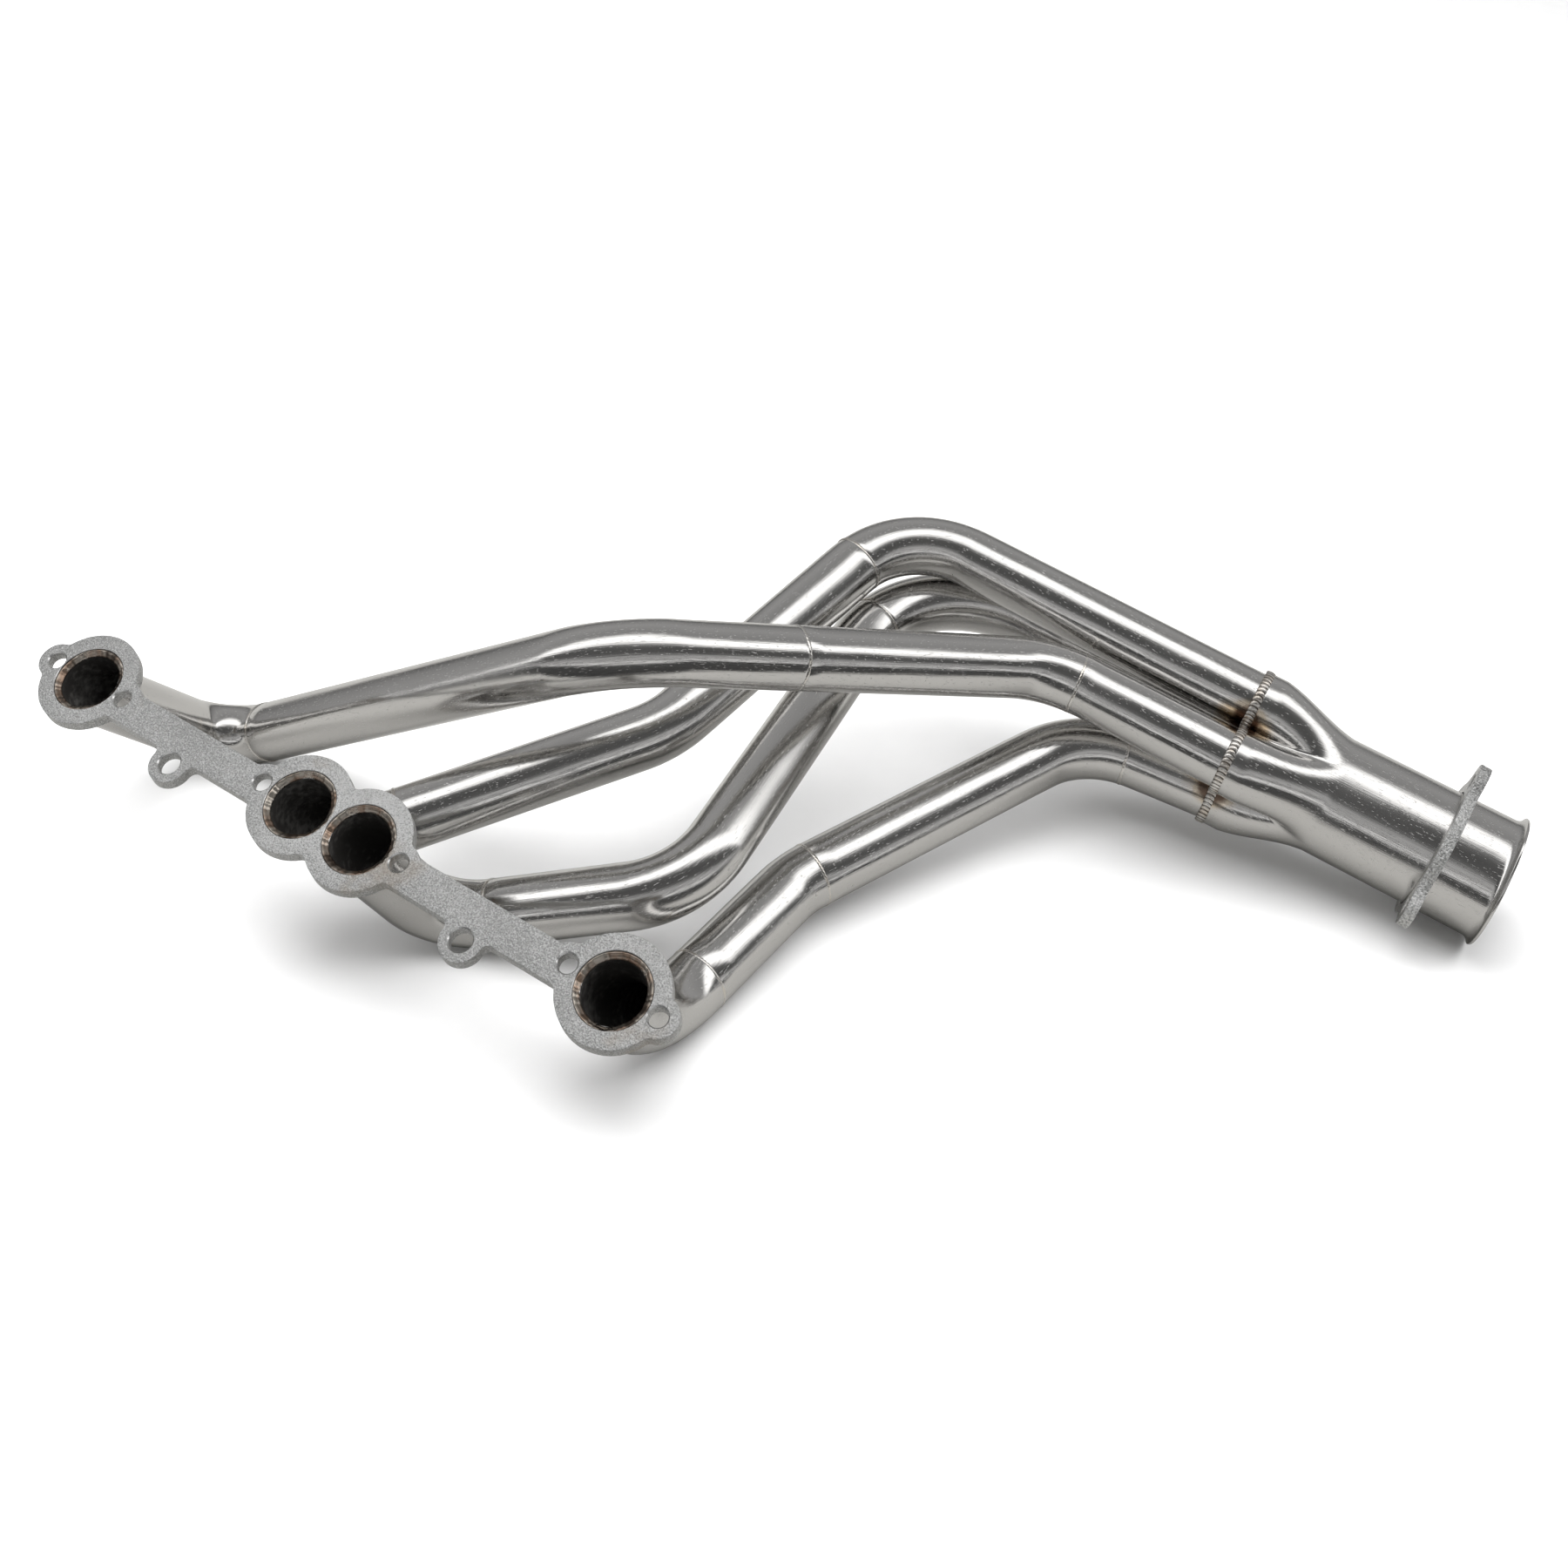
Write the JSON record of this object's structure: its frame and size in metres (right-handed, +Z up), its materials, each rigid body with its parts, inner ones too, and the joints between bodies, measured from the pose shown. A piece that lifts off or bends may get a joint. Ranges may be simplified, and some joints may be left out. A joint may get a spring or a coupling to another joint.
{
  "type": "exhaust manifold",
  "caption": "Long-tube exhaust header: flat head flange, bent primary tubes sweeping to one tapered lobed collector with a flared lip and a loose bolt flange.",
  "frame": {"origin": "centre of the bounding box's footprint, at the level it rests on", "axes": "+X along the port line towards the outlet, +Y from the head flange towards the collector, +Z up from the bench it rests on"},
  "size_m": [0.7912, 0.4588, 0.1951],
  "materials": {
    "flange_plate": "dull grey blasted steel with brown heat stains",
    "polished_tube": "mirror-polished stainless",
    "weld_bead": "rippled weld bead, bright with straw tint",
    "port_weld": "uneven shiny weld rim with straw and red tint",
    "loose_plate": "sheared plate, coarse bright cut edge"
  },
  "bodies": {
    "header": {"collector": "polished_tube", "collector_weld": "weld_bead", "head_flange": "flange_plate", "merge_plug": "weld_bead", "port_weld_a": "port_weld", "port_weld_b": "port_weld", "port_weld_c": "port_weld", "port_weld_d": "port_weld", "seam_weld_a1": "weld_bead", "seam_weld_a2": "weld_bead", "seam_weld_a3": "weld_bead", "seam_weld_b1": "weld_bead", "seam_weld_b2": "weld_bead", "seam_weld_c1": "weld_bead", "seam_weld_c2": "weld_bead", "seam_weld_d1": "weld_bead", "seam_weld_d2": "weld_bead", "seam_weld_d3": "weld_bead", "tube_a1": "polished_tube", "tube_a2": "polished_tube", "tube_a3": "polished_tube", "tube_a4": "polished_tube", "tube_b1": "polished_tube", "tube_b2": "polished_tube", "tube_b3": "polished_tube", "tube_c1": "polished_tube", "tube_c2": "polished_tube", "tube_c3": "polished_tube", "tube_d1": "polished_tube", "tube_d2": "polished_tube", "tube_d3": "polished_tube", "tube_d4": "polished_tube"},
    "loose_flange": {"collector_flange": "loose_plate"}
  },
  "joints": [
    {"name": "collector_flange_slide", "type": "slide", "parent": "header", "child": "loose_flange", "axis": [0.9821, 0.0364, -0.1851], "range_m": [-0.055, 0.022]}
  ]
}
